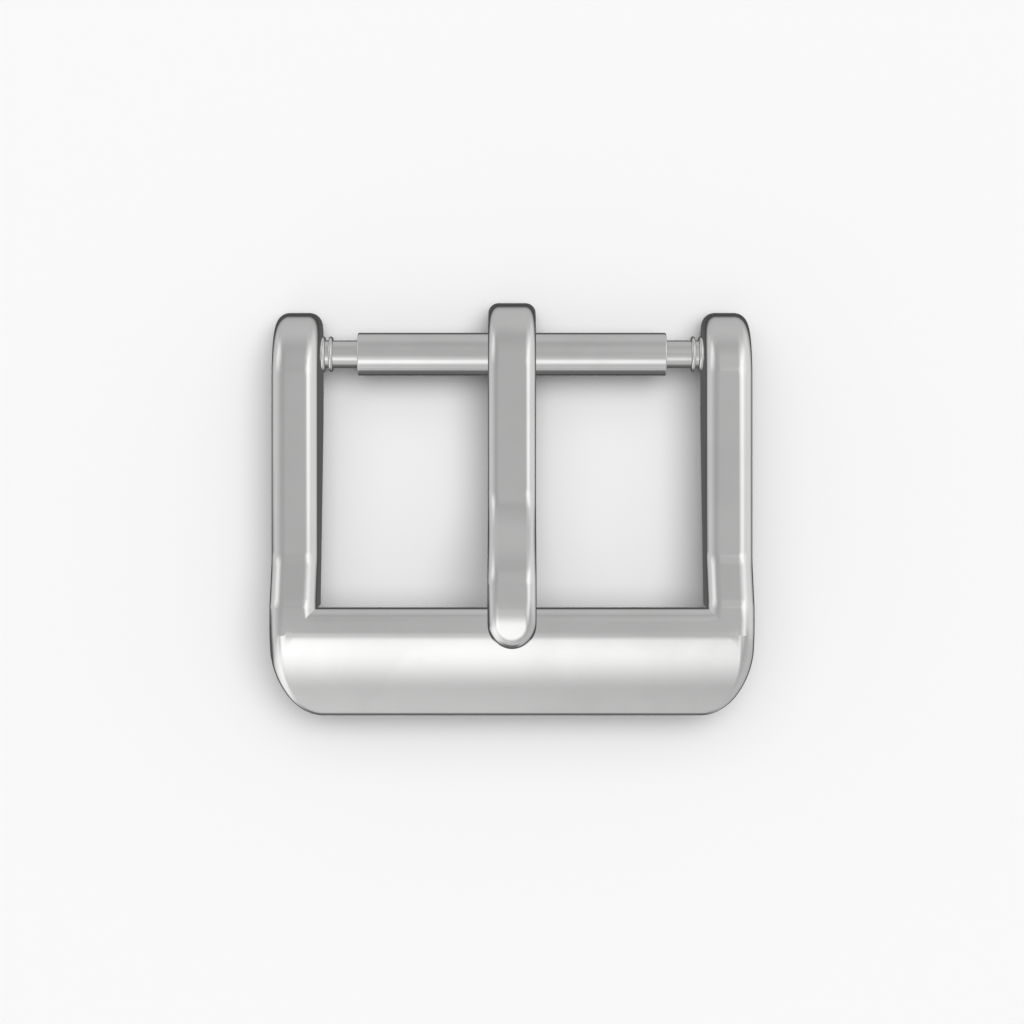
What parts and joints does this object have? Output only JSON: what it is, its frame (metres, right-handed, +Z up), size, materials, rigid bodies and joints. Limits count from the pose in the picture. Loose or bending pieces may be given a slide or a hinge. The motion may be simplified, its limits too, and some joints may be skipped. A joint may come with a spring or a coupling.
{
  "type": "watch strap tang buckle",
  "caption": "Polished tang buckle for a narrow watch strap: U-shaped frame with a domed front bar, pivoting stepped tongue and a spring bar held in blind holes in the ears.",
  "frame": {"origin": "centre of the buckle's box, on the surface that it lies on", "axes": "+X along the spring bar and across the strap, -Y towards the front bar, +Y towards the spring bar, +Z up from the surface"},
  "size_m": [0.02, 0.0174, 0.0055],
  "materials": {
    "frame_steel": "mirror-polished stainless steel",
    "tongue_steel": "mirror-polished stainless steel",
    "tube_steel": "turned and polished stainless steel",
    "plunger_steel": "turned stainless steel",
    "spring_steel": "bright drawn spring wire"
  },
  "bodies": {
    "frame": {"buckle_frame": "frame_steel"},
    "spring_bar": {"spring_bar_tube": "tube_steel", "bar_spring": "spring_steel"},
    "left_tip": {"left_plunger": "plunger_steel"},
    "right_tip": {"right_plunger": "plunger_steel"},
    "tang": {"tongue": "tongue_steel"}
  },
  "joints": [
    {"name": "bar_spin", "type": "hinge", "parent": "frame", "child": "spring_bar", "pos_m": [0, 0.00647, 0.00165], "axis": [1, 0, 0], "continuous": true},
    {"name": "tang_swing", "type": "hinge", "parent": "frame", "child": "tang", "pos_m": [0, 0.00647, 0.00165], "axis": [-1, 0, 0], "range_deg": [0, 165]},
    {"name": "left_tip_press", "type": "slide", "parent": "spring_bar", "child": "left_tip", "axis": [1, 0, 0], "range_m": [0, 0.0009], "stiffness_N_per_m": 800, "springref_m": -0.001, "deforming": ["bar_spring"]},
    {"name": "right_tip_press", "type": "slide", "parent": "spring_bar", "child": "right_tip", "axis": [-1, 0, 0], "range_m": [0, 0.0009], "stiffness_N_per_m": 800, "springref_m": -0.001, "deforming": ["bar_spring"]}
  ]
}
